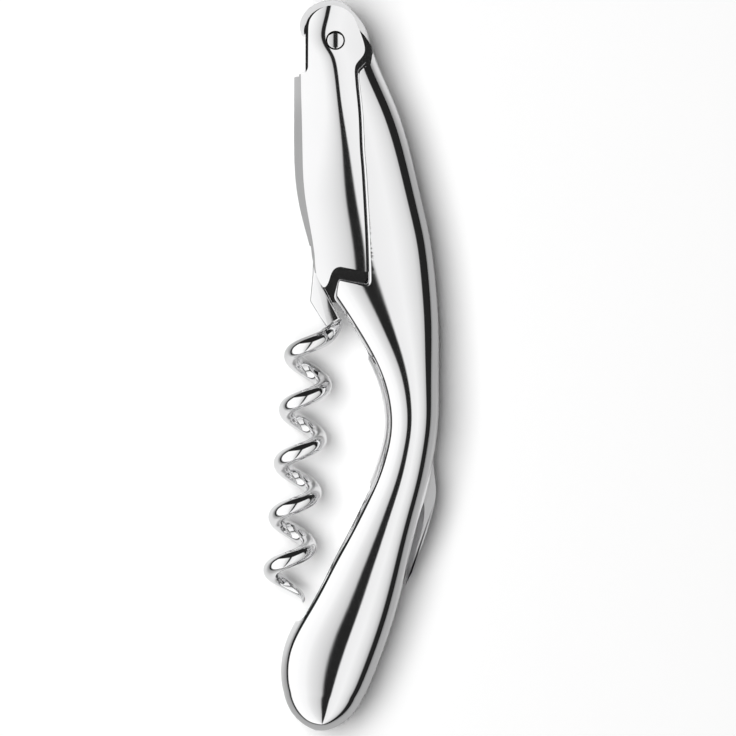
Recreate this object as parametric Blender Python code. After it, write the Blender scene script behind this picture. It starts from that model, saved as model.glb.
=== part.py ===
"""A waiter's corkscrew in polished steel, folded and lying on its side.

Metres, +Z up. The plan below is drawn about the lever's pin, with +Y towards the head and the
mid-plane of the tool at Z zero. The last function then moves the whole tool so that the middle
of its underside stands at the world's origin.
"""

import math

import bmesh
import bpy
from mathutils import Vector

# Handle
HANDLE_LENGTH = 0.1298
HANDLE_HALF_THICKNESS = 0.0070
TONGUE_HALF_THICKNESS = 0.0047
TONGUE_BEVEL = 0.0007
RECESS_SWING_CLEARANCE = 0.0003
SWING_ARC_DEGREES = (0, -72)
RECESS_SIDE_GAP = 0.0004
RECESS_END_GAP = 0.0021

# Lever
LEVER_LENGTH = 0.0437
LEVER_HALF_THICKNESS = 0.0069
LEVER_CROWN_RADIUS = 0.026
LEVER_INNER_GAP = 0.0003
LEVER_WEB = 0.0015
LEVER_BACK_BEVEL = 0.0015
LEVER_FORK_EDGE = 0.00025
LEVER_PIN_RADIUS = 0.00145
LEVER_PIN_CHAMFER = 0.0002
PIN_GAP = 0.00025
WASHER_RADIUS = 0.0031
WASHER_THICKNESS = 0.0003
WASHER_GAP = 0.00025

# Worm
WIRE_RADIUS = 0.00147
WORM_COIL_RADIUS = 0.00307
WORM_PITCH = 0.0096
WORM_LEAN_DEGREES = 5.54
WORM_AXIS_OFFSET = 0.0031
WORM_START_DROP = 0.0140
WORM_TURNS = 5.03
WORM_POINT_TURNS = 0.55
WORM_POINT_RADIUS = 0.00015
WORM_TAPER_POWER = 0.75
SHANK_REACH = 0.0130
SHANK_HALF_THICKNESS = 0.00128
SHANK_BEVEL = 0.00035
EYE_RADIUS = 0.0025
EYE_ARC_DEGREES = (-75, 160)
WORM_PIN_RADIUS = 0.0010
WORM_SLOT_GAP = 0.0004
WORM_POCKET_GAP = 0.00042

# Foil knife
KNIFE_LENGTH = 0.0240
KNIFE_HALF_THICKNESS = 0.0007
KNIFE_SLOT_GAP = 0.00035
KNIFE_TANG_RADIUS = 0.0022
TANG_ARC_DEGREES = (195, -25)
KNIFE_GRIND = 0.0009
KNIFE_PIN_RADIUS = 0.0008

# How far a cutter runs past what it cuts, and how near two plan points count as one
OVERRUN = 0.002
PLAN_MERGE = 0.00015

# Counts of faces
RING_POINTS = 24
STEPS_PER_STATION = 2
PIN_SIDES = 28
EYE_STEPS = 14
WIRE_SIDES = 8
POINTS_PER_TURN = 22
SMOOTH_ANGLE = math.radians(35)

# The handle's stations from head to heel: the palm edge and the back edge in shares of the
# handle's length about the lever's pin, where the crest lies between them, and the thickness
HANDLE_STATION_SHARES = (
    ((-0.071, 0.077), (0.039, 0.077), 0.44, 0.95),
    ((-0.071, 0.024), (0.043, 0.024), 0.44, 0.95),
    ((-0.069, -0.019), (0.053, -0.019), 0.44, 0.95),
    ((-0.067, -0.052), (0.067, -0.052), 0.44, 0.97),
    ((-0.067, -0.093), (0.085, -0.093), 0.45, 0.98),
    ((-0.067, -0.148), (0.102, -0.148), 0.45, 1.0),
    ((-0.063, -0.216), (0.118, -0.216), 0.45, 1.0),
    ((-0.052, -0.269), (0.130, -0.269), 0.43, 1.0),
    ((-0.032, -0.315), (0.136, -0.315), 0.42, 1.0),
    ((-0.003, -0.358), (0.140, -0.358), 0.42, 1.0),
    ((0.021, -0.395), (0.142, -0.399), 0.43, 1.0),
    ((0.050, -0.445), (0.142, -0.445), 0.45, 1.0),
    ((0.065, -0.491), (0.142, -0.491), 0.46, 1.0),
    ((0.068, -0.529), (0.141, -0.529), 0.46, 1.0),
    ((0.063, -0.555), (0.136, -0.562), 0.46, 1.0),
    ((0.054, -0.586), (0.130, -0.596), 0.47, 1.0),
    ((0.034, -0.629), (0.116, -0.649), 0.49, 1.0),
    ((0.012, -0.672), (0.104, -0.696), 0.51, 1.0),
    ((-0.010, -0.711), (0.094, -0.739), 0.52, 1.0),
    ((-0.031, -0.753), (0.083, -0.781), 0.53, 1.0),
    ((-0.051, -0.786), (0.074, -0.810), 0.55, 1.0),
    ((-0.065, -0.812), (0.066, -0.833), 0.56, 1.0),
    ((-0.074, -0.838), (0.057, -0.857), 0.56, 0.99),
    ((-0.076, -0.869), (0.048, -0.879), 0.55, 0.97),
    ((-0.071, -0.898), (0.035, -0.909), 0.51, 0.90),
    ((-0.060, -0.920), (0.016, -0.930), 0.48, 0.74),
    ((-0.042, -0.936), (-0.008, -0.942), 0.48, 0.48),
    ((-0.030, -0.943), (-0.021, -0.943), 0.50, 0.20),
)
PALM_ROUNDNESS = 4.0
BACK_ROUNDNESS = 2.9

# The tongue: the rim over the lever's head, which ends in the cap lifter's foot, and the edge that
# the lever's web closes over, in shares of the handle's length
RIM_SHARES = (
    (-0.0465, 0.0095), (-0.049, 0.021), (-0.043, 0.038), (-0.028, 0.051), (-0.008, 0.0567),
    (0.009, 0.054), (0.025, 0.040), (0.035, 0.028), (0.043, 0.013), (0.049, -0.007),
)
TONGUE_ROOT_SHARES = ((0.053, -0.020), (0.066, -0.060), (0.080, -0.160), (0.090, -0.300), (0.030, -0.345))
TONGUE_EDGE_SHARES = (
    (-0.002, -0.320), (-0.012, -0.301), (-0.024, -0.264), (-0.033, -0.216), (-0.038, -0.148),
    (-0.040, -0.095),
)
CAP_SEAT_SHARES = ((-0.041, -0.075), (-0.041, 0.0095))
CHIN_SHARES = ((0.0045, -0.3265), (-0.003, -0.353), (-0.007, -0.359))

# The lever's outline in shares of its length about its pin
LEVER_HEAD_SHARES = (
    (-0.110, 0.029), (-0.104, 0.081), (-0.077, 0.117), (-0.037, 0.138), (0.005, 0.140),
    (0.042, 0.125), (0.067, 0.104), (0.093, 0.053), (0.114, -0.005), (0.118, -0.046),
    (0.103, -0.072), (0.083, -0.098), (0.078, -0.129),
)
LEVER_SIDE_SHARES = (
    (0.078, -0.129), (0.083, -0.192), (0.093, -0.296), (0.099, -0.439), (0.104, -0.503),
    (0.113, -0.647), (0.121, -0.803), (0.125, -0.937),
)
LEDGE_SHARES = ((0.125, -0.937), (0.021, -0.917))
NOTCH_SHARES = (
    (0.021, -0.917), (0.004, -0.921), (-0.010, -0.933), (-0.020, -0.954), (-0.033, -0.989),
    (-0.046, -1.0), (-0.058, -0.989), (-0.079, -0.943),
)
LEVER_BACK_SHARES = (
    (-0.168, -0.100), (-0.168, -0.439), (-0.164, -0.543), (-0.151, -0.647), (-0.120, -0.776),
    (-0.094, -0.880), (-0.083, -0.943), (-0.060, -1.020),
)
LEVER_SHOULDER_SHARES = (
    (-0.200, -0.152), (-0.162, -0.145), (-0.151, -0.138), (-0.123, -0.129), (-0.111, -0.109),
    (-0.110, 0.029),
)
# The back bevel's width along the lever, each in shares of its full width and of the length
LEVER_BEVEL_SHARES = (
    (0.86, 0.180), (0.86, -0.235), (1.0, -0.439), (0.88, -0.643), (0.65, -0.765), (0.30, -0.879),
    (0.13, -0.960), (0.13, -1.020),
)
LEVER_CREST_SHARES = ((-0.023, 0.180), (-0.015, -0.052), (0.014, -0.235), (0.040, -0.439),
                      (0.063, -0.643), (0.095, -0.846), (0.107, -1.020))
FORK_TOP_SHARE = -0.705
LEVER_BLANK_STEPS = 26
CROWN_POINTS = 6

# The worm's shank and the paths cut for it, in shares of its reach from eye to coil
SHANK_OUTER_SHARES = (
    (-0.29, 0.04), (-0.328, -0.06), (-0.335, -0.315), (-0.370, -0.671), (-0.164, -0.986),
    (-0.060, -1.040),
)
SHANK_INNER_SHARES = (
    (-0.010, -0.985), (0.042, -0.904), (-0.096, -0.644), (-0.175, -0.49), (-0.165, -0.30),
    (-0.080, -0.185),
)
SHANK_WIRE_SHARES = ((-0.225, -0.690), (-0.165, -0.820), (-0.120, -0.950))
SHANK_WIRE_RADIUS_SHARES = (0.72, 0.86, 0.96)
WORM_PIVOT_SHARES = (0.002, -0.288)
WORM_SLOT_SHARES = (
    (-0.080, -0.233), (0.000, -0.245), (0.022, -0.254), (0.032, -0.272), (0.032, -0.300),
    (0.025, -0.328), (0.015, -0.350), (0.024, -0.372), (0.036, -0.400), (-0.080, -0.400),
)
CHIN_POCKET_SHARES = (
    (-0.080, -0.355), (0.004, -0.357), (0.018, -0.364), (0.034, -0.386), (0.046, -0.420),
    (0.030, -0.470), (-0.080, -0.470),
)
HEEL_POCKET_SHARES = (
    (-0.100, -0.590), (0.035, -0.590), (0.050, -0.610), (0.052, -0.690), (0.049, -0.760),
    (0.038, -0.784), (0.020, -0.795), (-0.100, -0.795),
)

# The foil knife's outline and its slot, in shares of its length about its pin
KNIFE_PIVOT_SHARES = (0.118, -0.561)
KNIFE_BACK_SHARES = (
    (0.088, -0.050), (0.100, -0.181), (0.110, -0.295), (0.093, -0.416), (0.060, -0.537),
    (0.022, -0.658), (-0.045, -0.809), (-0.117, -0.993),
)
KNIFE_EDGE_SHARES = (
    (-0.117, -0.993), (-0.100, -0.844), (-0.064, -0.689), (-0.026, -0.548), (-0.019, -0.400),
    (-0.044, -0.267), (-0.075, -0.141),
)
KNIFE_SLOT_SHARES = (
    (0.240, 0.437), (0.140, 0.420), (0.040, 0.380), (-0.060, 0.285), (-0.140, 0.126),
    (-0.174, -0.030), (-0.163, -0.178), (-0.122, -0.304), (-0.104, -0.422), (-0.115, -0.585),
    (-0.156, -0.733), (-0.189, -0.919), (-0.193, -1.044), (-0.156, -1.133), (0.240, -1.133),
)

# Colour and roughness of each finish
POLISHED_STEEL = ((0.80, 0.80, 0.81, 1.0), 0.05)
WORM_STEEL = ((0.74, 0.74, 0.75, 1.0), 0.12)
BRONZE = ((0.66, 0.50, 0.30, 1.0), 0.3)


def clear_scene():
    """Removes the objects that the open file holds."""
    for obj in list(bpy.data.objects):
        bpy.data.objects.remove(obj, do_unlink=True)


def steel(name, colour, roughness):
    """A metal material of one colour."""
    material = bpy.data.materials.new(name)
    material.use_nodes = True
    shader = material.node_tree.nodes["Principled BSDF"]
    shader.inputs["Base Color"].default_value = colour
    shader.inputs["Metallic"].default_value = 1.0
    shader.inputs["Roughness"].default_value = roughness
    return material


def add_object(name, mesh, root, centre=(0, 0)):
    """Links a mesh whose points are about centre, on the tool's mid-plane."""
    obj = bpy.data.objects.new(name, mesh)
    bpy.context.collection.objects.link(obj)
    obj.location = (centre[0], centre[1], 0)
    obj.parent = root
    return obj


def finish(obj, material):
    """Gives a piece its material and smooth shading."""
    obj.data.materials.append(material)
    obj.data.shade_smooth()
    obj.data.set_sharp_from_angle(angle=SMOOTH_ANGLE)


def hide_cutter(obj):
    """Marks a helper that only cuts or joins."""
    obj.hide_render = True
    obj.display_type = "WIRE"


def boolean(obj, other, operation):
    """Adds a Boolean of obj with a helper, which is then hidden."""
    modifier = obj.modifiers.new(other.name, "BOOLEAN")
    modifier.operation = operation
    modifier.object = other
    modifier.solver = "EXACT"
    hide_cutter(other)


def plan(shares, length):
    """Plan points from shares of a length."""
    return [Vector((x * length, y * length)) for x, y in shares]


def curve_through(points, steps):
    """Points along a smooth curve through the given ones, ends included."""
    ends = [2 * points[0] - points[1]] + list(points) + [2 * points[-1] - points[-2]]
    curve = []
    for i in range(1, len(ends) - 2):
        before, start, end, after = ends[i - 1 : i + 3]
        for k in range(steps):
            t = k / steps
            curve.append(
                0.5
                * (
                    2 * start
                    + (end - before) * t
                    + (2 * before - 5 * start + 4 * end - after) * t**2
                    + (3 * start - before - 3 * end + after) * t**3
                )
            )
    curve.append(points[-1].copy())
    return curve


def outline_of(*stretches):
    """One closed outline from stretches laid end to end, without repeated corners."""
    outline = []
    for stretch in stretches:
        for point in stretch:
            if not outline or (point - outline[-1]).length > PLAN_MERGE:
                outline.append(point)
    if (outline[0] - outline[-1]).length <= PLAN_MERGE:
        outline.pop()
    return outline


def arc(centre, radius, start_degrees, end_degrees, steps):
    """Plan points along an arc, ends included."""
    points = []
    for k in range(steps + 1):
        angle = math.radians(start_degrees + (end_degrees - start_degrees) * k / steps)
        points.append(centre + radius * Vector((math.cos(angle), math.sin(angle))))
    return points


def height_on(points, y):
    """X of a line of plan points at height y; the points run downwards."""
    for upper, lower in zip(points, points[1:]):
        if lower.y <= y:
            break
    share = (y - upper.y) / (lower.y - upper.y)
    return upper.x + (lower.x - upper.x) * share


def mesh_from(bm, name):
    """A mesh whose faces point outwards."""
    bmesh.ops.recalc_face_normals(bm, faces=bm.faces)
    mesh = bpy.data.meshes.new(name)
    bm.to_mesh(mesh)
    bm.free()
    return mesh


def loft(name, rings):
    """A closed mesh through rings of equally many points, capped at both ends."""
    bm = bmesh.new()
    rows = [[bm.verts.new(point) for point in ring] for ring in rings]
    for upper, lower in zip(rows, rows[1:]):
        for k, corner in enumerate(upper):
            after = (k + 1) % len(upper)
            bm.faces.new((corner, upper[after], lower[after], lower[k]))
    bm.faces.new(rows[0])
    bm.faces.new(rows[-1])
    return mesh_from(bm, name)


def slab(name, outline, low, high, bevel=0):
    """A flat plate of one outline, its rim bevelled on both faces where a bevel is given."""
    bm = bmesh.new()
    floor = bm.faces.new([bm.verts.new((point.x, point.y, low)) for point in outline])
    lifted = bmesh.ops.extrude_face_region(bm, geom=[floor], use_keep_orig=True)["geom"]
    corners = [item for item in lifted if isinstance(item, bmesh.types.BMVert)]
    bmesh.ops.translate(bm, verts=corners, vec=(0, 0, high - low))
    if bevel:
        rims = [edge for edge in bm.edges if edge.verts[0].co.z == edge.verts[1].co.z]
        bmesh.ops.bevel(bm, geom=rims, offset=bevel, segments=1, affect="EDGES", clamp_overlap=True)
    return mesh_from(bm, name)


def turned(name, profile, sides):
    """A solid turned about Z from a profile of radius and height, from its foot up."""
    rings = []
    for radius, height in profile:
        rings.append([
            (radius * math.cos(math.tau * k / sides), radius * math.sin(math.tau * k / sides), height)
            for k in range(sides)
        ])
    return loft(name, rings)


def annulus(name, inner, outer, low, high):
    """A flat washer turned about Z."""
    bm = bmesh.new()
    rows = []
    for radius, height in ((inner, low), (outer, low), (outer, high), (inner, high)):
        angles = [math.tau * k / PIN_SIDES for k in range(PIN_SIDES)]
        rows.append([
            bm.verts.new((radius * math.cos(angle), radius * math.sin(angle), height)) for angle in angles
        ])
    for row, after in zip(rows, rows[1:] + rows[:1]):
        for k in range(PIN_SIDES):
            turn = (k + 1) % PIN_SIDES
            bm.faces.new((row[k], row[turn], after[turn], after[k]))
    return mesh_from(bm, name)


def tube(name, path, radii, sides):
    """A round wire along a path, with a radius at each point."""
    rings = []
    side = None
    for i, point in enumerate(path):
        ahead = path[min(i + 1, len(path) - 1)] - path[max(i - 1, 0)]
        ahead.normalize()
        side = ahead.orthogonal() if side is None else side - ahead * side.dot(ahead)
        side.normalize()
        up = ahead.cross(side)
        rings.append([
            point + radii[i] * (side * math.cos(math.tau * k / sides) + up * math.sin(math.tau * k / sides))
            for k in range(sides)
        ])
    return loft(name, rings)


def chamfered_pin(radius, foot, head):
    """The turned profile of a pin with both ends chamfered."""
    chamfer = LEVER_PIN_CHAMFER
    return (
        (radius - chamfer, foot), (radius, foot + chamfer), (radius, head - chamfer), (radius - chamfer, head),
    )


def station_rows():
    """The handle's stations with the smooth in-between ones: palm, back, crest and thickness."""
    rows = [
        Vector((*palm, *back, crest, thickness))
        for palm, back, crest, thickness in HANDLE_STATION_SHARES
    ]
    return curve_through(rows, STEPS_PER_STATION)


def handle_section(palm, back, crest, half_thickness):
    """One cross-section ring between a palm point and a back point."""
    middle = palm.lerp(back, crest)
    ring = []
    for k in range(RING_POINTS):
        angle = math.tau * k / RING_POINTS
        across, up = math.cos(angle), math.sin(angle)
        roundness = BACK_ROUNDNESS if across > 0 else PALM_ROUNDNESS
        reach = abs(across) ** (2 / roundness)
        height = math.copysign(abs(up) ** (2 / roundness), up) * half_thickness
        place = middle.lerp(back if across > 0 else palm, reach)
        ring.append((place.x, place.y, height))
    return ring


def handle_blank():
    """The handle's full body, from past its head down to its heel."""
    rings = []
    for row in station_rows():
        palm, back = Vector(row[0:2]), Vector(row[2:4])
        rings.append(
            handle_section(
                palm * HANDLE_LENGTH, back * HANDLE_LENGTH, row[4], row[5] * HANDLE_HALF_THICKNESS
            )
        )
    return loft("handle", rings)


def lever_side():
    """The lever's edge that lies along the handle."""
    return curve_through(plan(LEVER_SIDE_SHARES, LEVER_LENGTH), 2)


def recess_outline():
    """The ground that the lever's cheeks need: its swing round the pin, its bed, and all beyond."""
    side = [point + Vector((RECESS_SIDE_GAP, 0)) for point in lever_side()]
    ledge_right, ledge_left = plan(LEDGE_SHARES, LEVER_LENGTH)
    down = (ledge_left - ledge_right).orthogonal().normalized()
    if down.y > 0:
        down.negate()
    end = [ledge_right + down * RECESS_END_GAP, ledge_left + down * RECESS_END_GAP]
    corner = side.pop()
    corner = Vector((corner.x, height_of_line(end, corner.x)))
    side[-1].y = max(side[-1].y, corner.y + RECESS_END_GAP)
    swing = max(point.length for point in plan(LEVER_HEAD_SHARES, LEVER_LENGTH)) + RECESS_SWING_CLEARANCE
    head = [point for point in arc(Vector((0, 0)), swing, *SWING_ARC_DEGREES, EYE_STEPS) if point.x > side[0].x]
    chin = plan(CHIN_SHARES, HANDLE_LENGTH)
    chin[0].y = height_of_line(end, chin[0].x)
    far = HANDLE_LENGTH
    past = [Vector((-far, chin[-1].y)), Vector((-far, far)), Vector((far, far)), Vector((far, 0))]
    return outline_of(head, side, [corner], chin, past)


def height_of_line(ends, x):
    """Y of the straight line through two plan points at x."""
    first, second = ends
    return first.y + (second.y - first.y) * (x - first.x) / (second.x - first.x)


def tongue_outline():
    """The tongue's plan, from the cap lifter's foot round the rim and back up the hidden edge."""
    rim = curve_through(plan(RIM_SHARES, HANDLE_LENGTH), 4)
    root = plan(TONGUE_ROOT_SHARES, HANDLE_LENGTH)
    edge = curve_through(plan(TONGUE_EDGE_SHARES, HANDLE_LENGTH), 3)
    seat = plan(CAP_SEAT_SHARES, HANDLE_LENGTH)
    return outline_of(rim, root, edge, seat)


def drill(obj, name, root, centre, radius, low, high):
    """Cuts a round hole through obj."""
    cutter = add_object(name, turned(name, ((radius, low), (radius, high)), PIN_SIDES), root, centre)
    boolean(obj, cutter, "DIFFERENCE")


def make_handle(root, material):
    """The cast handle with its tongue, cap lifter, slots and pin holes."""
    handle = add_object("handle", handle_blank(), root)
    past = HANDLE_HALF_THICKNESS + OVERRUN
    recess = add_object("recess_cutter", slab("recess_cutter", recess_outline(), -past, past), root)
    boolean(handle, recess, "DIFFERENCE")
    tongue = slab("tongue", tongue_outline(), -TONGUE_HALF_THICKNESS, TONGUE_HALF_THICKNESS, TONGUE_BEVEL)
    boolean(handle, add_object("tongue", tongue, root), "UNION")

    slot_half = SHANK_HALF_THICKNESS + WORM_SLOT_GAP
    slot = slab("worm_slot", plan(WORM_SLOT_SHARES, HANDLE_LENGTH), -slot_half, slot_half)
    boolean(handle, add_object("worm_slot", slot, root), "DIFFERENCE")
    pocket_half = WORM_COIL_RADIUS + WIRE_RADIUS + WORM_POCKET_GAP
    for name, shares in (("chin_pocket", CHIN_POCKET_SHARES), ("heel_pocket", HEEL_POCKET_SHARES)):
        outline = curve_through(plan(shares[1:-1], HANDLE_LENGTH), 3)
        outline = outline_of(plan(shares[:1], HANDLE_LENGTH), outline, plan(shares[-1:], HANDLE_LENGTH))
        pocket = add_object(name, slab(name, outline, -pocket_half, pocket_half), root)
        boolean(handle, pocket, "DIFFERENCE")

    knife_half = KNIFE_HALF_THICKNESS + KNIFE_SLOT_GAP
    pivot = knife_pivot()
    knife_slot = slab("knife_slot", plan(KNIFE_SLOT_SHARES, KNIFE_LENGTH), -knife_half, knife_half)
    boolean(handle, add_object("knife_slot", knife_slot, root, pivot), "DIFFERENCE")

    drill(handle, "lever_pin_hole", root, (0, 0), LEVER_PIN_RADIUS + PIN_GAP, -past, past)
    seat_floor = washer_foot() - WASHER_GAP
    seat_radius = WASHER_RADIUS + WASHER_GAP
    drill(handle, "washer_seat_front", root, (0, 0), seat_radius, seat_floor, past)
    drill(handle, "washer_seat_back", root, (0, 0), seat_radius, -past, -seat_floor)
    worm_pin = WORM_PIN_RADIUS + PIN_GAP
    drill(handle, "worm_pin_hole", root, worm_pivot(), worm_pin, -past, blind_depth(TONGUE_HALF_THICKNESS))
    knife_pin = KNIFE_PIN_RADIUS + PIN_GAP
    drill(handle, "knife_pin_hole", root, pivot, knife_pin, -past, blind_depth(TONGUE_HALF_THICKNESS))
    finish(handle, material)


def washer_foot():
    """How high above the mid-plane a lever washer starts."""
    return TONGUE_HALF_THICKNESS + LEVER_INNER_GAP - WASHER_GAP - WASHER_THICKNESS


def blind_depth(wall_top):
    """Where a blind pin hole ends, below a wall's far face."""
    return wall_top - WORM_PIN_RADIUS


def worm_pivot():
    """The worm's pin, in plan."""
    return plan([WORM_PIVOT_SHARES], HANDLE_LENGTH)[0]


def knife_pivot():
    """The knife's pin, in plan."""
    return plan([KNIFE_PIVOT_SHARES], HANDLE_LENGTH)[0]


def lever_back():
    """The lever's outer back line, from above its shoulder down past its teeth."""
    points = plan(LEVER_BACK_SHARES, LEVER_LENGTH)
    return points[:1] + curve_through(points[1:], 4)


def lever_crown(crest_x, x):
    """Height of the lever's domed cheek at x."""
    return LEVER_HALF_THICKNESS - (x - crest_x) ** 2 / (2 * LEVER_CROWN_RADIUS)


def lever_blank():
    """A long domed bar with its back corners bevelled, from past the head to past the teeth."""
    back = lever_back()
    crest = curve_through(plan(LEVER_CREST_SHARES, LEVER_LENGTH), 3)
    widths = [Vector((width * LEVER_BACK_BEVEL, y * LEVER_LENGTH)) for width, y in LEVER_BEVEL_SHARES]
    cheek_foot = TONGUE_HALF_THICKNESS + LEVER_INNER_GAP + LEVER_FORK_EDGE
    fork_top = FORK_TOP_SHARE * LEVER_LENGTH + OVERRUN
    right = plan(LEVER_SIDE_SHARES, LEVER_LENGTH)[-1].x + OVERRUN
    top, foot = crest[0].y, crest[-1].y
    rings = []
    for i in range(LEVER_BLANK_STEPS + 1):
        y = top + (foot - top) * i / LEVER_BLANK_STEPS
        left, crest_x = height_on([Vector((back[0].x, top)), *back], y), height_on(crest, y)
        bevel = height_on(widths, y)
        crease = left + bevel
        xs = [crease + (right - crease) * k / CROWN_POINTS for k in range(CROWN_POINTS + 1)]
        upper = [(x, y, lever_crown(crest_x, x)) for x in xs]
        depth = min(bevel, upper[0][2] - cheek_foot) if y < fork_top else bevel
        corner = (left, y, upper[0][2] - depth)
        half = [corner, *upper]
        rings.append(half + [(x, y, -z) for x, y, z in reversed(half)])
    return loft("lever", rings)


def make_lever(root, material):
    """The lever: two domed cheeks with one web, forked below, and its lip ledge and teeth."""
    lever = add_object("lever", lever_blank(), root)
    past = LEVER_HALF_THICKNESS + OVERRUN
    head = curve_through(plan(LEVER_HEAD_SHARES, LEVER_LENGTH), 3)
    notch = curve_through(plan(NOTCH_SHARES, LEVER_LENGTH), 3)
    shoulder = plan(LEVER_SHOULDER_SHARES, LEVER_LENGTH)
    far_left = shoulder[0].x - OVERRUN
    beyond = [Vector((far_left, notch[-1].y + OVERRUN)), Vector((far_left, shoulder[0].y))]
    outline = outline_of(head, lever_side(), plan(LEDGE_SHARES, LEVER_LENGTH), notch, beyond, shoulder)
    shape = add_object("lever_outline", slab("lever_outline", outline, -past, past), root)
    boolean(lever, shape, "INTERSECT")

    inner = TONGUE_HALF_THICKNESS + LEVER_INNER_GAP
    fork_top = FORK_TOP_SHARE * LEVER_LENGTH
    web_top = shoulder[1].y
    web = [point + Vector((LEVER_WEB, 0)) for point in lever_back() if fork_top < point.y < web_top]
    web.insert(0, Vector((web[0].x, web_top)))
    web.append(Vector((height_on(lever_back(), fork_top) + LEVER_WEB, fork_top)))
    far = LEVER_LENGTH + OVERRUN
    around = [
        Vector((-far, fork_top)), Vector((-far, -far)), Vector((far, -far)), Vector((far, far)),
        Vector((-far, far)), Vector((-far, web_top)),
    ]
    channel = slab("lever_channel", outline_of(web, around), -inner, inner)
    boolean(lever, add_object("lever_channel", channel, root), "DIFFERENCE")
    drill(lever, "lever_bore", root, (0, 0), LEVER_PIN_RADIUS + PIN_GAP, -past, past)
    finish(lever, material)


def make_lever_pin(root, material, washer_material):
    """The flush rivet through the lever's head, and the two thin washers sunk beside the tongue."""
    head = LEVER_HALF_THICKNESS - LEVER_PIN_CHAMFER / 2
    pin = turned("lever_pin", chamfered_pin(LEVER_PIN_RADIUS, -head, head), PIN_SIDES)
    finish(add_object("lever_pin", pin, root), material)
    foot = washer_foot()
    top = foot + WASHER_THICKNESS
    for name, low, high in (("lever_washer_front", foot, top), ("lever_washer_back", -top, -foot)):
        bore = LEVER_PIN_RADIUS + PIN_GAP
        washer = annulus(name, bore, WASHER_RADIUS, low, high)
        finish(add_object(name, washer, root), washer_material)


def worm_path():
    """The wire's centre line from inside the shank round the coil to the point, and its radii."""
    lean = math.radians(WORM_LEAN_DEGREES)
    down = Vector((-math.sin(lean), -math.cos(lean), 0))
    across = Vector((math.cos(lean), -math.sin(lean), 0))
    front = Vector((0, 0, 1))
    start = Vector((-WORM_AXIS_OFFSET, 0, 0)) + down * WORM_START_DROP
    path = [Vector((point.x, point.y, 0)) for point in plan(SHANK_WIRE_SHARES, SHANK_REACH)]
    radii = [WIRE_RADIUS * share for share in SHANK_WIRE_RADIUS_SHARES]
    steps = round(WORM_TURNS * POINTS_PER_TURN)
    for k in range(steps + 1):
        turns = WORM_TURNS * k / steps
        left = (WORM_TURNS - turns) / WORM_POINT_TURNS
        taper = min(1, left) ** WORM_TAPER_POWER
        radius = WORM_POINT_RADIUS + (WIRE_RADIUS - WORM_POINT_RADIUS) * taper
        swing = WORM_COIL_RADIUS
        angle = math.tau * turns
        path.append(
            start + down * (WORM_PITCH * turns)
            + across * (swing * math.cos(angle)) + front * (swing * math.sin(angle))
        )
        radii.append(radius)
    return path, radii


def make_worm(root, material, pin_material):
    """The worm: a flattened shank with an eye, bent into the open coil, and its blind pin."""
    pivot = worm_pivot()
    eye = arc(Vector((0, 0)), EYE_RADIUS, *EYE_ARC_DEGREES, EYE_STEPS)
    outer, inner = plan(SHANK_OUTER_SHARES, SHANK_REACH), plan(SHANK_INNER_SHARES, SHANK_REACH)
    half = SHANK_HALF_THICKNESS
    plate = slab("worm", outline_of(eye, outer, inner), -half, half, SHANK_BEVEL)
    worm = add_object("worm", plate, root, pivot)
    path, radii = worm_path()
    wire = add_object("worm_wire", tube("worm_wire", path, radii, WIRE_SIDES), root, pivot)
    boolean(worm, wire, "UNION")
    drill(worm, "worm_eye", root, pivot, WORM_PIN_RADIUS + PIN_GAP, -half - OVERRUN, half + OVERRUN)
    finish(worm, material)
    foot = -TONGUE_HALF_THICKNESS + PIN_GAP
    head = blind_depth(TONGUE_HALF_THICKNESS) - PIN_GAP
    pin = turned("worm_pin", chamfered_pin(WORM_PIN_RADIUS, foot, head), PIN_SIDES)
    finish(add_object("worm_pin", pin, root, pivot), pin_material)


def make_knife(root, material, pin_material):
    """The foil knife: a hooked blade ground on its inner edge, with its tang on a blind pin."""
    pivot = knife_pivot()
    back = curve_through(plan(KNIFE_BACK_SHARES, KNIFE_LENGTH), 2)
    edge = curve_through(plan(KNIFE_EDGE_SHARES, KNIFE_LENGTH), 2)
    tang = arc(Vector((0, 0)), KNIFE_TANG_RADIUS, *TANG_ARC_DEGREES, EYE_STEPS)
    ground = edge[1:-2]
    inward = [Vector((KNIFE_GRIND, 0)) for _ in ground]
    layers = []
    for height, share in ((-KNIFE_HALF_THICKNESS, 1), (0, 0), (KNIFE_HALF_THICKNESS, 1)):
        moved = [point + shift * share for point, shift in zip(ground, inward)]
        ring = tang + back + moved + edge[-2:]
        layers.append([(point.x, point.y, height) for point in ring])
    knife = add_object("foil_knife", loft("foil_knife", layers), root, pivot)
    past = KNIFE_HALF_THICKNESS + OVERRUN
    drill(knife, "knife_eye", root, pivot, KNIFE_PIN_RADIUS + PIN_GAP, -past, past)
    finish(knife, material)
    foot = -HANDLE_HALF_THICKNESS + KNIFE_PIN_RADIUS
    head = blind_depth(TONGUE_HALF_THICKNESS) - PIN_GAP
    pin = turned("knife_pin", chamfered_pin(KNIFE_PIN_RADIUS, foot, head), PIN_SIDES)
    finish(add_object("knife_pin", pin, root, pivot), pin_material)


def stand_on_origin(root):
    """Moves the tool so that its underside's middle is at the world's origin."""
    bpy.context.view_layer.update()
    graph = bpy.context.evaluated_depsgraph_get()
    corners = []
    for obj in bpy.context.scene.objects:
        if obj.type == "MESH" and not obj.hide_render:
            evaluated = obj.evaluated_get(graph)
            corners += [evaluated.matrix_world @ vertex.co for vertex in evaluated.data.vertices]
    low = Vector([min(corner[axis] for corner in corners) for axis in range(3)])
    high = Vector([max(corner[axis] for corner in corners) for axis in range(3)])
    root.location = (-(low.x + high.x) / 2, -(low.y + high.y) / 2, -low.z)
    bpy.context.view_layer.update()
    for name in ("lever", "worm", "foil_knife"):
        print("pivot", name, [round(value, 6) for value in bpy.data.objects[name].matrix_world.translation])


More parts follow.
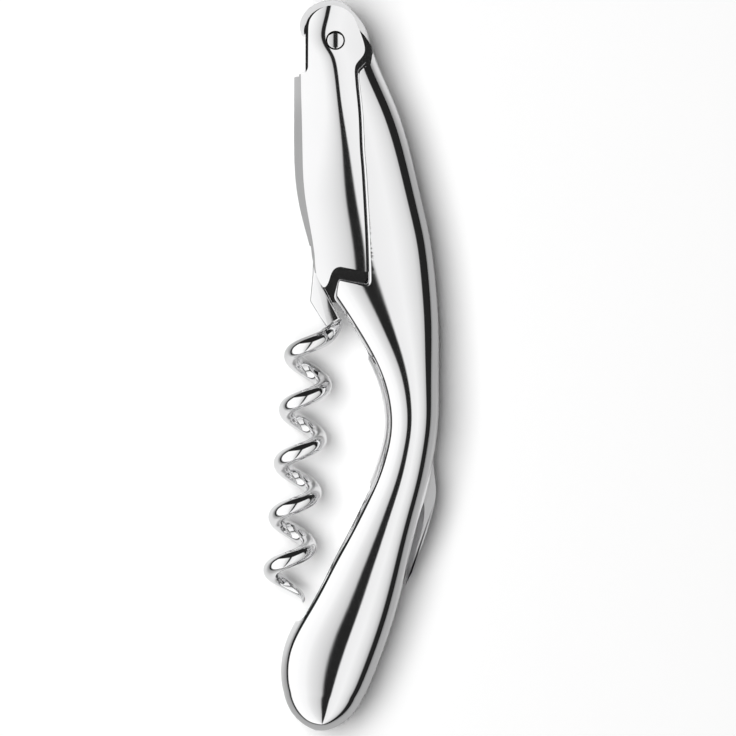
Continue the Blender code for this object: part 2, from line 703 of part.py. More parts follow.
def main():
    """Builds the corkscrew."""
    clear_scene()
    root = bpy.data.objects.new("corkscrew", None)
    bpy.context.collection.objects.link(root)
    polished = steel("polished_steel", *POLISHED_STEEL)
    wire = steel("worm_steel", *WORM_STEEL)
    bronze = steel("washer_bronze", *BRONZE)
    make_handle(root, polished)
    make_lever(root, polished)
    make_lever_pin(root, polished, bronze)
    make_worm(root, wire, polished)
    make_knife(root, polished, polished)
    stand_on_origin(root)


main()
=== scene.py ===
"""A folding waiter's corkscrew in mirror-polished steel, dressed on its CAD frame.

The tool lies closed on its side on a pale table, seen from straight above. Plan sizes are metres
about the lever's pin, as the photograph was measured, and each piece is then moved to the frame.
"""

import logging
import math
from dataclasses import dataclass
from enum import Enum

import bmesh
import bpy
import numpy as np
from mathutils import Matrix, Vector
from mathutils.bvhtree import BVHTree


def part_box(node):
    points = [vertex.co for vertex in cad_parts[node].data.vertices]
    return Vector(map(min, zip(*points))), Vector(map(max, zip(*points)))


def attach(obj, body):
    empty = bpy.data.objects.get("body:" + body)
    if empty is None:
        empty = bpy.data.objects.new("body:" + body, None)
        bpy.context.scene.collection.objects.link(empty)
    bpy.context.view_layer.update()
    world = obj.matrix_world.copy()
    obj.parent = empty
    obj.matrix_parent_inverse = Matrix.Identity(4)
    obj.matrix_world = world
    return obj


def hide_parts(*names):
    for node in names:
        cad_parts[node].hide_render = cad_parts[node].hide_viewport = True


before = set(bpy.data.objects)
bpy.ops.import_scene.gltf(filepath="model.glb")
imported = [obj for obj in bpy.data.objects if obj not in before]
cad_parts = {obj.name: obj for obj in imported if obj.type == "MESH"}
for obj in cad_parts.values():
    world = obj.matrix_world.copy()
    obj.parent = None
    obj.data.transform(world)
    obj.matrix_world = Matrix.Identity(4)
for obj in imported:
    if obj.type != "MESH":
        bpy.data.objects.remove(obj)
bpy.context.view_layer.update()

log = logging.getLogger("corkscrew")

HANDLE_LENGTH = 0.1298
LEVER_LENGTH = 0.0437
SHANK_REACH = 0.0130
KNIFE_LENGTH = 0.0240
SMOOTH_ANGLE = math.radians(32)
LEVER_SMOOTH_ANGLE = math.radians(24)
CORNER_ANGLE = math.radians(12)
CORNER_STEPS = 8
EDGE_STEP = 0.0001
EDGE_PASSES = 12
CUT_POINTS = 60
DRILL_SIDES = 64
KNOT_POWER = 1.4
TINY = 1e-6
OVERRUN = 0.002


class Fineness(Enum):
    """How closely curved faces are laid."""

    QUICK = 1
    FULL = 2

    @classmethod
    def current(cls) -> "Fineness":
        """The fineness that this run asks for."""
        return cls.FULL

    def count(self, full: int) -> int:
        """Args:
            full: The number of steps of a full run.

        Returns:
            The number of steps to use.
        """
        return full if self is Fineness.FULL else max(4, full // 2)


FINENESS = Fineness.current()


def pin_centre(node: str) -> Vector:
    """The middle of a pin's CAD box, which is its joint's place.

    Args:
        node: The CAD node's name.

    Returns:
        The centre point in the row frame.
    """
    low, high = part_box(node)
    return (low + high) / 2


LEVER_PIVOT = pin_centre("lever_pin")
MID_HEIGHT = LEVER_PIVOT.z
WORM_PIVOT = Vector((*pin_centre("worm_pin").xy, MID_HEIGHT))
KNIFE_PIVOT = Vector((*pin_centre("knife_pin").xy, MID_HEIGHT))


def plan(shares: tuple, length: float) -> list[Vector]:
    """Plan points from shares of a length.

    Args:
        shares: Pairs of shares along X and Y.
        length: The length that they are shares of.

    Returns:
        The points, in metres.
    """
    return [Vector((x * length, y * length)) for x, y in shares]


def spline(rows: np.ndarray, count: int, weights: np.ndarray | None = None) -> np.ndarray:
    """Samples a natural cubic spline, which has no kinks in its curvature, through rows of values.

    Args:
        rows: One row of values per knot.
        count: How many samples to take.
        weights: Scale of each value in the distance between knots.

    Returns:
        The samples, ends included.
    """
    rows = np.asarray(rows, float)
    scaled = rows if weights is None else rows * weights
    spans = np.linalg.norm(np.diff(scaled, axis=0), axis=1)
    knots = np.concatenate([[0], np.cumsum(np.sqrt(spans) ** KNOT_POWER)])
    gaps = np.diff(knots)
    size = len(rows)
    matrix = np.eye(size)
    right = np.zeros_like(rows)
    for i in range(1, size - 1):
        matrix[i, i - 1], matrix[i, i], matrix[i, i + 1] = gaps[i - 1], 2 * (gaps[i - 1] + gaps[i]), gaps[i]
        right[i] = 6 * ((rows[i + 1] - rows[i]) / gaps[i] - (rows[i] - rows[i - 1]) / gaps[i - 1])
    bends = np.linalg.solve(matrix, right)
    places = np.linspace(0, knots[-1], count)
    index = np.clip(np.searchsorted(knots, places, side="right") - 1, 0, size - 2)
    gap = gaps[index][:, None]
    after = (places - knots[index])[:, None] / gap
    before = 1 - after
    return (
        before * rows[index] + after * rows[index + 1]
        + ((before**3 - before) * bends[index] + (after**3 - after) * bends[index + 1]) * gap**2 / 6
    )


def smooth_line(shares: tuple, length: float, count: int) -> list[Vector]:
    """A smooth plan curve through shares of a length.

    Args:
        shares: Pairs of shares along X and Y.
        length: The length that they are shares of.
        count: How many points to lay.

    Returns:
        The points, ends included.
    """
    return [Vector(point) for point in spline(np.array(shares) * length, count)]


def across_at(line: list[Vector], y: float) -> float:
    """X of a line of plan points, which runs downwards, at height y.

    Args:
        line: The plan points from top to bottom.
        y: The height.

    Returns:
        The line's X there, carried on straight past its ends.
    """
    for upper, lower in zip(line, line[1:]):
        if lower.y <= y:
            break
    return upper.x + (lower.x - upper.x) * (y - upper.y) / (lower.y - upper.y)


def sideways(line: list[Vector]) -> list[Vector]:
    """The unit direction to the left of a plan line's travel, at each of its points.

    Args:
        line: The plan points.

    Returns:
        One direction per point. For a line that runs down, it points to +X.
    """
    directions = []
    for i in range(len(line)):
        ahead = line[min(i + 1, len(line) - 1)] - line[max(i - 1, 0)]
        ahead.normalize()
        directions.append(Vector((-ahead.y, ahead.x)))
    return directions


def rounded_line(points: list[Vector], radius: float) -> list[Vector]:
    """A plan line whose sharp corners are rounded, laid again at even steps.

    Args:
        points: The corners.
        radius: The rounding's reach each side of a corner.

    Returns:
        The new line.
    """
    line = [points[0]]
    for before, corner, after in zip(points, points[1:], points[2:]):
        into, out = corner - before, after - corner
        if into.angle(out) < CORNER_ANGLE:
            line.append(corner)
            continue
        start = corner - into.normalized() * min(radius, into.length / 2)
        end = corner + out.normalized() * min(radius, out.length / 2)
        for k in range(CORNER_STEPS + 1):
            t = k / CORNER_STEPS
            line.append(start * (1 - t) ** 2 + corner * 2 * t * (1 - t) + end * t**2)
    line.append(points[-1])
    places = np.array([tuple(point) for point in line])
    reached = np.concatenate([[0], np.cumsum(np.linalg.norm(np.diff(places, axis=0), axis=1))])
    count = int(reached[-1] / EDGE_STEP)
    wanted = np.linspace(0, reached[-1], count)
    even = np.stack([np.interp(wanted, reached, places[:, axis]) for axis in (0, 1)], axis=1)
    for _ in range(EDGE_PASSES):
        even[1:-1] = (even[:-2] + 2 * even[1:-1] + even[2:]) / 4
    return [Vector(place) for place in even]


def smooth_cut(shares: tuple, length: float) -> list[Vector]:
    """A cutter's outline: a smooth curve between its first and last points, which lie outside.

    Args:
        shares: Pairs of shares.
        length: The length that they are shares of.

    Returns:
        The outline.
    """
    curve = smooth_line(shares[1:-1], length, CUT_POINTS)
    return plan(shares[:1], length) + curve + plan(shares[-1:], length)


class Shaper:
    """Makes mesh objects and shapes them with Blender's own tools."""

    @staticmethod
    def select_only(obj: bpy.types.Object) -> None:
        """Makes obj the one selected and active object.

        Args:
            obj: The object that the next operator works on.
        """
        bpy.ops.object.select_all(action="DESELECT")
        obj.select_set(True)
        bpy.context.view_layer.objects.active = obj

    @staticmethod
    def from_bmesh(name: str, bm: bmesh.types.BMesh) -> bpy.types.Object:
        """Links a mesh object whose faces point outwards.

        Args:
            name: The object's name.
            bm: The mesh, which is freed.

        Returns:
            The new object, at the origin.
        """
        bmesh.ops.recalc_face_normals(bm, faces=bm.faces)
        mesh = bpy.data.meshes.new(name)
        bm.to_mesh(mesh)
        bm.free()
        obj = bpy.data.objects.new(name, mesh)
        bpy.context.scene.collection.objects.link(obj)
        return obj

    @staticmethod
    def loft(name: str, rings: list, capped: bool = True, closed: bool = True) -> bpy.types.Object:
        """A skin through rings of equally many points.

        Args:
            name: The object's name.
            rings: The rings, each a list of points.
            capped: Whether the end rings are filled.
            closed: Whether each ring joins its last point to its first.

        Returns:
            The new object.
        """
        bm = bmesh.new()
        rows = [[bm.verts.new(point) for point in ring] for ring in rings]
        last = len(rows[0]) if closed else len(rows[0]) - 1
        for upper, lower in zip(rows, rows[1:]):
            for k in range(last):
                after = (k + 1) % len(upper)
                bm.faces.new((upper[k], upper[after], lower[after], lower[k]))
        if capped:
            bm.faces.new(rows[0])
            bm.faces.new(rows[-1])
        return Shaper.from_bmesh(name, bm)

    @staticmethod
    def slab(name: str, outline: list, low: float, high: float, bevel: float = 0, steps: int = 1):
        """A flat plate of one outline, with rounded rims where a bevel is given.

        Args:
            name: The object's name.
            outline: The plan points, without repeats.
            low: The foot's height about the mid-plane.
            high: The top's height about the mid-plane.
            bevel: The rims' rounding width.
            steps: How many faces round each rim.

        Returns:
            The new object.
        """
        bm = bmesh.new()
        floor = bm.faces.new([bm.verts.new((point[0], point[1], low)) for point in outline])
        lifted = bmesh.ops.extrude_face_region(bm, geom=[floor], use_keep_orig=True)["geom"]
        corners = [item for item in lifted if isinstance(item, bmesh.types.BMVert)]
        bmesh.ops.translate(bm, verts=corners, vec=(0, 0, high - low))
        if bevel:
            rims = [edge for edge in bm.edges if edge.verts[0].co.z == edge.verts[1].co.z]
            bmesh.ops.bevel(
                bm, geom=rims, offset=bevel, segments=steps, profile=0.5, affect="EDGES", clamp_overlap=True
            )
        return Shaper.from_bmesh(name, bm)

    @staticmethod
    def turned(name: str, profile: list, sides: int) -> bpy.types.Object:
        """A solid turned about Z.

        Args:
            name: The object's name.
            profile: Pairs of radius and height from the foot up.
            sides: How many sides round it.

        Returns:
            The new object.
        """
        rings = []
        for radius, height in profile:
            turns = [math.tau * k / sides for k in range(sides)]
            rings.append([(radius * math.cos(turn), radius * math.sin(turn), height) for turn in turns])
        return Shaper.loft(name, rings)

    @staticmethod
    def combine(obj: bpy.types.Object, other: bpy.types.Object, operation: str) -> None:
        """Applies a Boolean of obj with a helper, which is then removed.

        Args:
            obj: The object that is changed.
            other: The helper.
            operation: UNION, DIFFERENCE or INTERSECT.
        """
        Shaper.select_only(obj)
        modifier = obj.modifiers.new("combine", "BOOLEAN")
        modifier.operation = operation
        modifier.object = other
        modifier.solver = "MANIFOLD"
        count = len(obj.data.polygons)
        bpy.ops.object.modifier_apply(modifier=modifier.name)
        log.info("%s %s %s: %d to %d faces", obj.name, operation, other.name, count, len(obj.data.polygons))
        bpy.data.objects.remove(other, do_unlink=True)

    @staticmethod
    def drill(obj: bpy.types.Object, centre: Vector, radius: float, low: float, high: float) -> None:
        """Cuts a round hole.

        Args:
            obj: The piece.
            centre: The hole's axis.
            radius: The hole's radius.
            low: Its foot.
            high: Its top.
        """
        cutter = Shaper.turned("drill", [(radius, low), (radius, high)], DRILL_SIDES)
        Shaper.place(cutter, centre)
        Shaper.combine(obj, cutter, "DIFFERENCE")

    @staticmethod
    def place(obj: bpy.types.Object, centre: Vector) -> None:
        """Moves a piece's mesh to its place in the frame and leaves its object at the origin.

        Args:
            obj: The piece, drawn about centre.
            centre: The place in the frame.
        """
        Shaper.select_only(obj)
        obj.location = centre
        bpy.ops.object.transform_apply(location=True, rotation=True, scale=True)

    @staticmethod
    def paint(obj: bpy.types.Object, material: bpy.types.Material) -> None:
        """Gives all of a piece one material, in place of any that its helpers left.

        Args:
            obj: The piece.
            material: Its material.
        """
        obj.data.materials.clear()
        obj.data.materials.append(material)
        for face in obj.data.polygons:
            face.material_index = 0

    @staticmethod
    def shade(obj: bpy.types.Object, angle: float = SMOOTH_ANGLE) -> None:
        """Shades a piece smooth, with its real edges kept sharp.

        Args:
            obj: The piece.
            angle: The least angle of an edge that stays sharp.
        """
        Shaper.select_only(obj)
        bpy.ops.object.shade_smooth_by_angle(angle=angle)


class NodeBench:
    """Adds and joins the nodes of one material or world."""

    def __init__(self, tree: bpy.types.NodeTree) -> None:
        """Takes up a node tree.

        Args:
            tree: The tree that is worked on.
        """
        self.nodes, self.links = tree.nodes, tree.links

    def feed(self, socket: bpy.types.NodeSocket, value: object) -> None:
        """Links another node's output to a socket, or sets the socket's own value.

        Args:
            socket: The input.
            value: An output socket, or a plain value.
        """
        if isinstance(value, bpy.types.NodeSocket):
            self.links.new(value, socket)
        else:
            socket.default_value = value

    def add(self, kind: str, **values: object) -> bpy.types.Node:
        """Adds a node and feeds its inputs.

        Args:
            kind: The node's type, without its leading ShaderNode.
            values: What its inputs take, by name, with _ for a space.

        Returns:
            The new node.
        """
        node = self.nodes.new("ShaderNode" + kind)
        for name, value in values.items():
            self.feed(node.inputs[name.replace("_", " ")], value)
        return node

    def reckon(self, kind: str, operation: str, *values: object) -> bpy.types.Node:
        """Adds a Math or VectorMath node.

        Args:
            kind: Math or VectorMath.
            operation: What it works out.
            values: What its inputs take, in order.

        Returns:
            The new node.
        """
        node = self.nodes.new("ShaderNode" + kind)
        node.operation = operation
        for socket, value in zip(node.inputs, values):
            self.feed(socket, value)
        return node

    def ranged(self, value: object, source: tuple, result: tuple = (0.0, 1.0), soft: bool = True):
        """Carries a value from one range to another.

        Args:
            value: The output socket that gives the value.
            source: The range's ends before.
            result: The range's ends after.
            soft: Whether the ends are eased.

        Returns:
            The output socket.
        """
        ends = dict(zip(("From_Min", "From_Max", "To_Min", "To_Max"), (*source, *result)))
        node = self.add("MapRange", Value=value, **ends)
        node.interpolation_type = "SMOOTHSTEP" if soft else "LINEAR"
        return node.outputs["Result"]


@dataclass(frozen=True)
class SteelFinish:
    """A polished steel: a metal that mirrors the studio, with faint wipe marks and pores."""

    name: str
    colour: tuple = (0.86, 0.86, 0.865, 1.0)
    roughness: float = 0.045
    roughness_spread: float = 0.03
    wipe_scale: float = 90.0
    wipe_detail: float = 3.0
    wipe_range: tuple = (0.3, 0.7)
    wipe_shade: float = 0.96
    scratch_scale: float = 900.0
    scratch_detail: float = 6.0
    scratch_depth: float = 0.012
    scratch_height: float = 0.0001
    grain: tuple = (1.0, 0.12, 1.0)

    def material(self) -> bpy.types.Material:
        """Builds the node tree.

        Returns:
            The new material.
        """
        material = bpy.data.materials.new(self.name)
        material.use_nodes = True
        bench = NodeBench(material.node_tree)
        shader = bench.nodes["Principled BSDF"]
        shader.inputs["Metallic"].default_value = 1.0
        place = bench.add("TexCoord").outputs["Object"]

        wipes = bench.add("TexNoise", Vector=place, Scale=self.wipe_scale, Detail=self.wipe_detail)
        spread = (self.roughness, self.roughness + self.roughness_spread)
        dullness = bench.ranged(wipes.outputs["Fac"], self.wipe_range, spread, soft=False)
        bench.feed(shader.inputs["Roughness"], dullness)

        grain = bench.add("Mapping", Vector=place, Scale=self.grain).outputs["Vector"]
        scratches = bench.add("TexNoise", Vector=grain, Scale=self.scratch_scale, Detail=self.scratch_detail)
        height = scratches.outputs["Fac"]
        relief = bench.add("Bump", Height=height, Strength=self.scratch_depth, Distance=self.scratch_height)
        bench.feed(shader.inputs["Normal"], relief.outputs["Normal"])

        wiped = tuple(self.wipe_shade * value for value in self.colour[:3]) + (1.0,)
        tint = bench.nodes.new("ShaderNodeMix")
        tint.data_type = "RGBA"
        for name, value in (("Factor", wipes.outputs["Fac"]), ("A", self.colour), ("B", wiped)):
            bench.feed(tint.inputs[name], value)
        bench.feed(shader.inputs["Base Color"], tint.outputs["Result"])
        return material


@dataclass
class Handle:
    """The cast handle: a sculpted grip, its recess with a rounded lip, tongue, slots and pin holes."""

    half_thickness: float = 0.0070
    tongue_half_thickness: float = 0.0047
    rim_width: float = 0.00115
    rim_depth: float = 0.0020
    rim_points: int = 90
    hook_share: float = 0.42
    hook_fade: float = 20.0
    rim_fade: float = 14.0
    pocket_rounding: float = 0.0022
    pocket_steps: int = 6
    crown: float = 0.00105
    palm_roundness: float = 4.0
    back_roundness: float = 2.9
    lip_radius: float = 0.00052
    lip_steps: int = 8
    lip_inset_parts: int = 6
    side_points: int = 40
    tongue_points: int = 24
    corner_radius: float = 0.0005
    swing_radius: float = 0.00650
    swing_start: float = 12.0
    swing_sweep: float = 90.0
    swing_steps: int = 40
    side_gap: float = 0.0004
    end_gap: float = 0.0021
    slot_half: float = 0.00168
    pocket_half: float = 0.00496
    knife_slot_half: float = 0.00105
    lever_bore: float = 0.0017
    washer_seat_radius: float = 0.00335
    washer_seat_half: float = 0.0042
    worm_bore: float = 0.00125
    knife_bore: float = 0.00105
    blind_top: float = 0.0037
    sections: int = 420
    section_points: int = 60
    section_samples: int = 700
    smoothing: float = 0.0022
    smoothing_parts: int = 3

    station_shares = (
        ((-0.071, 0.077), (0.039, 0.077), 0.44, 0.95),
        ((-0.071, 0.024), (0.043, 0.024), 0.44, 0.95),
        ((-0.069, -0.019), (0.053, -0.019), 0.44, 0.95),
        ((-0.067, -0.052), (0.067, -0.052), 0.44, 0.97),
        ((-0.067, -0.093), (0.085, -0.093), 0.45, 0.98),
        ((-0.067, -0.148), (0.102, -0.148), 0.45, 1.0),
        ((-0.063, -0.216), (0.118, -0.216), 0.45, 1.0),
        ((-0.052, -0.269), (0.130, -0.269), 0.43, 1.0),
        ((-0.032, -0.315), (0.136, -0.315), 0.42, 1.0),
        ((-0.003, -0.358), (0.140, -0.358), 0.42, 1.0),
        ((0.021, -0.395), (0.142, -0.399), 0.43, 1.0),
        ((0.050, -0.445), (0.142, -0.445), 0.45, 1.0),
        ((0.065, -0.491), (0.142, -0.491), 0.46, 1.0),
        ((0.068, -0.529), (0.141, -0.529), 0.46, 1.0),
        ((0.063, -0.555), (0.136, -0.562), 0.46, 1.0),
        ((0.054, -0.586), (0.130, -0.596), 0.47, 1.0),
        ((0.034, -0.629), (0.116, -0.649), 0.49, 1.0),
        ((0.012, -0.672), (0.104, -0.696), 0.51, 1.0),
        ((-0.010, -0.711), (0.094, -0.739), 0.52, 1.0),
        ((-0.031, -0.753), (0.083, -0.781), 0.53, 1.0),
        ((-0.051, -0.786), (0.074, -0.810), 0.55, 1.0),
        ((-0.065, -0.812), (0.066, -0.833), 0.56, 1.0),
        ((-0.074, -0.838), (0.057, -0.857), 0.56, 0.99),
        ((-0.076, -0.869), (0.048, -0.879), 0.55, 0.97),
        ((-0.071, -0.898), (0.035, -0.909), 0.51, 0.90),
        ((-0.060, -0.920), (0.016, -0.930), 0.48, 0.74),
        ((-0.042, -0.936), (-0.008, -0.942), 0.48, 0.48),
        ((-0.027, -0.9436), (-0.024, -0.9436), 0.50, 0.04),
    )
    rim_shares = (
        (-0.0465, 0.0095), (-0.049, 0.021), (-0.043, 0.038), (-0.028, 0.051), (-0.008, 0.0567),
        (0.009, 0.054), (0.025, 0.040), (0.035, 0.028), (0.043, 0.013), (0.049, -0.007),
    )
    tongue_root_shares = (
        (0.0500, -0.013), (0.0500, -0.022), (0.042, -0.060), (0.042, -0.160), (0.060, -0.300),
        (0.030, -0.345), (0.012, -0.360), (-0.0045, -0.3565), (-0.0152, -0.3371),
    )
    tongue_edge_shares = (
        (-0.012, -0.301), (-0.024, -0.264), (-0.033, -0.216), (-0.038, -0.148), (-0.040, -0.095),
    )
    cap_seat_shares = ((-0.041, -0.075), (-0.041, 0.0095))
    chin_shares = ((0.0045, -0.3265), (-0.003, -0.353), (-0.010, -0.362))
    slot_shares = (
        (-0.080, -0.233), (0.000, -0.245), (0.022, -0.254), (0.032, -0.272), (0.032, -0.300),
        (0.025, -0.328), (0.015, -0.350), (0.024, -0.372), (0.036, -0.400), (-0.080, -0.400),
    )
    chin_pocket_shares = (
        (-0.080, -0.355), (0.004, -0.357), (0.018, -0.364), (0.034, -0.386), (0.046, -0.420),
        (0.030, -0.470), (-0.080, -0.470),
    )
    heel_pocket_shares = (
        (-0.100, -0.590), (0.035, -0.590), (0.050, -0.610), (0.052, -0.690), (0.049, -0.760),
        (0.038, -0.784), (0.020, -0.795), (-0.100, -0.795),
    )
    knife_slot_shares = (
        (0.240, 0.437), (0.140, 0.420), (0.040, 0.380), (-0.060, 0.285), (-0.140, 0.126),
        (-0.174, -0.030), (-0.163, -0.178), (-0.122, -0.304), (-0.104, -0.422), (-0.115, -0.585),
        (-0.156, -0.733), (-0.189, -0.919), (-0.193, -1.044), (-0.156, -1.133), (0.240, -1.133),
    )

    def station_rows(self) -> np.ndarray:
        """The stations between the given ones, evened out so that reflections run smoothly.

        Returns:
            Rows of palm X and Y, back X and Y, crest share and thickness share.
        """
        given = [(*palm, *back, crest, thick) for palm, back, crest, thick in self.station_shares]
        weights = np.array([1.0, 1.0, 1.0, 1.0, 0.0, self.half_thickness / HANDLE_LENGTH])
        rows = spline(np.array(given), FINENESS.count(self.sections), weights)
        middle = (rows[:, 0:2] + rows[:, 2:4]) / 2 * HANDLE_LENGTH
        place = np.concatenate([[0], np.cumsum(np.linalg.norm(np.diff(middle, axis=0), axis=1))])
        evened = np.empty_like(rows)
        for i, here in enumerate(place):
            nearest_end = min(place[-1] - here, max(here, TINY))
            reach = min(self.smoothing, nearest_end / self.smoothing_parts)
            pull = np.exp(-((place - here) / max(reach, TINY)) ** 2 / 2)
            evened[i] = pull @ rows / pull.sum()
        return evened

    def half_section(self, left: float, right: float, height: float) -> np.ndarray:
        """The upper half of one cross-section, with points closest where it turns most.

        Args:
            left: From the crest to the palm edge.
            right: From the crest to the back edge.
            height: The crest's height.

        Returns:
            Pairs of offset from the crest and height, from the back edge to the palm edge.
        """
        turn = np.linspace(0, math.pi / 2, self.section_samples)
        halves = []
        for reach, roundness in ((right, self.back_roundness), (left, self.palm_roundness)):
            share = np.cos(turn) ** (2 / roundness)
            rise = np.sin(turn) ** (2 / roundness)
            crown = self.crown * height / self.half_thickness
            heights = (height - crown) * rise + crown * (1 - share**2)
            halves.append(np.stack([share * reach, heights], axis=1))
        whole = np.concatenate([halves[0], (halves[1] * (-1, 1))[::-1][1:]])
        steps = np.diff(whole, axis=0)
        lengths = np.linalg.norm(steps, axis=1)
        headings = np.unwrap(np.arctan2(steps[:, 1], steps[:, 0]))
        turning = np.concatenate([[0], np.abs(np.diff(headings))])
        effort = lengths / lengths.sum() + turning / turning.sum()
        reached = np.concatenate([[0], np.cumsum(effort)])
        wanted = np.linspace(0, reached[-1], FINENESS.count(self.section_points) + 1)
        return np.stack([np.interp(wanted, reached, whole[:, axis]) for axis in (0, 1)], axis=1)

    def blank(self) -> bpy.types.Object:
        """The handle's full body, from past its head down to its heel.

        Returns:
            The new object.
        """
        rings = []
        for row in self.station_rows():
            palm, back = Vector(row[0:2]) * HANDLE_LENGTH, Vector(row[2:4]) * HANDLE_LENGTH
            width = (back - palm).length
            along = (back - palm).normalized()
            crest = palm.lerp(back, row[4])
            upper = self.half_section(row[4] * width, (1 - row[4]) * width, row[5] * self.half_thickness)
            ring = [(*(crest + along * offset), height) for offset, height in upper]
            ring += [(*(crest + along * offset), -height) for offset, height in upper[-2:0:-1]]
            rings.append(ring)
        return Shaper.loft("handle_body", rings)

    def recess_edge(self) -> list[Vector]:
        """The plan line of the recess wall, from the back over the lever's head down to the chin.

        Returns:
            The points, with rounded corners.
        """
        side = [point + Vector((self.side_gap, 0)) for point in Lever.side_line(self.side_points)]
        right, left = plan(Lever.ledge_shares, LEVER_LENGTH)
        down = (left - right).orthogonal().normalized()
        down = down if down.y < 0 else -down
        end = [right + down * self.end_gap, left + down * self.end_gap]
        fall = (end[1].y - end[0].y) / (end[1].x - end[0].x)
        corner = Vector((side[-1].x, end[0].y + fall * (side[-1].x - end[0].x)))
        chin = plan(self.chin_shares, HANDLE_LENGTH)
        chin[0].y = end[0].y + fall * (chin[0].x - end[0].x)
        side = [point for point in side if point.y > corner.y + self.corner_radius]
        swing = []
        for k in range(self.swing_steps + 1):
            turn = math.radians(self.swing_start - self.swing_sweep * k / self.swing_steps)
            point = Vector((math.cos(turn), math.sin(turn))) * self.swing_radius
            if point.x > side[0].x + self.corner_radius / 2:
                swing.append(point)
        return rounded_line(swing + side + [corner] + chin, self.corner_radius)

    def recess_cutter(self, edge: list[Vector]) -> bpy.types.Object:
        """A block over all the ground on the lever's side of a plan line.

        Args:
            edge: The plan line from the back to the chin.

        Returns:
            The new cutter.
        """
        far = HANDLE_LENGTH
        past = [
            Vector((-far, edge[-1].y)), Vector((-far, far)), Vector((far, far)), Vector((far, edge[0].y)),
        ]
        reach = self.half_thickness + OVERRUN
        return Shaper.slab("recess", edge + past, -reach, reach)

    def lip(self, edge: list[Vector], body: BVHTree) -> bpy.types.Object:
        """The recess wall's rounded edge, as a bar that follows the body's own surface.

        Args:
            edge: The plan line of the wall.
            body: The uncut body, which gives the heights.

        Returns:
            The new bar.
        """
        radius = self.lip_radius
        inset = radius / self.lip_inset_parts
        rings = []
        for point, outward in zip(edge, sideways(edge)):
            upper = []
            for k in range(self.lip_steps + 1):
                share = k / self.lip_steps
                place = point + outward * (radius * share)
                fall = radius - math.sqrt(radius**2 - (radius * (1 - share)) ** 2)
                upper.append((*place, self.height_at(body, place) - fall))
            hidden = point + outward * (radius + inset)
            upper.append((*hidden, self.height_at(body, hidden) - inset))
            rings.append(upper + [(x, y, -z) for x, y, z in reversed(upper)])
        return Shaper.loft("recess_lip", rings)

    def height_at(self, body: BVHTree, place: Vector) -> float:
        """The body's height over a plan point, or nought where the body has ended.

        Args:
            body: The uncut body.
            place: The plan point.

        Returns:
            The height above the mid-plane.
        """
        hit = body.ray_cast(Vector((*place, 2 * self.half_thickness)), Vector((0, 0, -1)))[0]
        return hit.z if hit else 0.0

    def build(self) -> bpy.types.Object:
        """Shapes the handle.

        Returns:
            The finished handle, drawn about the lever's pin.
        """
        handle = self.blank()
        body = BVHTree.FromObject(handle, bpy.context.evaluated_depsgraph_get())
        edge = self.recess_edge()
        reach = self.lip_radius
        inner = [point + outward * reach for point, outward in zip(edge, sideways(edge))]
        least = self.tongue_half_thickness / 2
        seen = [
            point for point, behind in zip(edge, inner)
            if min(self.height_at(body, point), self.height_at(body, behind)) > least
        ]
        Shaper.combine(handle, self.recess_cutter(inner), "DIFFERENCE")
        Shaper.combine(handle, self.lip(seen, body), "UNION")

        rim = smooth_line(self.rim_shares, HANDLE_LENGTH, self.rim_points)
        root = plan(self.tongue_root_shares, HANDLE_LENGTH)
        hidden_edge = smooth_line(self.tongue_edge_shares, HANDLE_LENGTH, self.tongue_points)
        rest = root + hidden_edge + plan(self.cap_seat_shares, HANDLE_LENGTH)
        inset = []
        for k, point in enumerate(rim):
            left = len(rim) - 1 - k
            width = self.rim_width * min(1, self.hook_share + k / self.hook_fade, left / self.rim_fade)
            inset.append(point - point.normalized() * width)
        half, foot = self.tongue_half_thickness, self.tongue_half_thickness - self.rim_depth
        layers = ((inset, -half), (rim, -foot), (rim, foot), (inset, half))
        rings = [[(*point, height) for point in edge_line + rest] for edge_line, height in layers]
        tongue = Shaper.loft("tongue", rings)
        Shaper.combine(handle, tongue, "UNION")

        slot = smooth_cut(self.slot_shares, HANDLE_LENGTH)
        cutter = Shaper.slab("worm_slot", slot, -self.slot_half, self.slot_half)
        Shaper.combine(handle, cutter, "DIFFERENCE")
        for shares in (self.chin_pocket_shares, self.heel_pocket_shares):
            pocket = smooth_cut(shares, HANDLE_LENGTH)
            half = self.pocket_half
            cutter = Shaper.slab("pocket", pocket, -half, half, self.pocket_rounding, self.pocket_steps)
            Shaper.combine(handle, cutter, "DIFFERENCE")
        knife_slot = smooth_cut(self.knife_slot_shares, KNIFE_LENGTH)
        cutter = Shaper.slab("knife_slot", knife_slot, -self.knife_slot_half, self.knife_slot_half)
        Shaper.place(cutter, KNIFE_PIVOT - LEVER_PIVOT)
        Shaper.combine(handle, cutter, "DIFFERENCE")
        past, seat = self.half_thickness + OVERRUN, self.washer_seat_half
        middle = Vector((0, 0, 0))
        Shaper.drill(handle, middle, self.lever_bore, -past, past)
        Shaper.drill(handle, middle, self.washer_seat_radius, seat, past)
        Shaper.drill(handle, middle, self.washer_seat_radius, -past, -seat)
        Shaper.drill(handle, WORM_PIVOT - LEVER_PIVOT, self.worm_bore, -past, self.blind_top)
        Shaper.drill(handle, KNIFE_PIVOT - LEVER_PIVOT, self.knife_bore, -past, self.blind_top)
        return handle

    def dress(self, finishes: dict) -> bpy.types.Object:
        """Builds the handle and seats it on its body.

        Args:
            finishes: The materials by name.

        Returns:
            The finished piece.
        """
        handle = self.build()
        handle.name = "handle_casting"
        Shaper.place(handle, LEVER_PIVOT)
        Shaper.shade(handle)
        Shaper.paint(handle, finishes["polished"])
        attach(handle, "body")
        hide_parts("handle")
        return handle


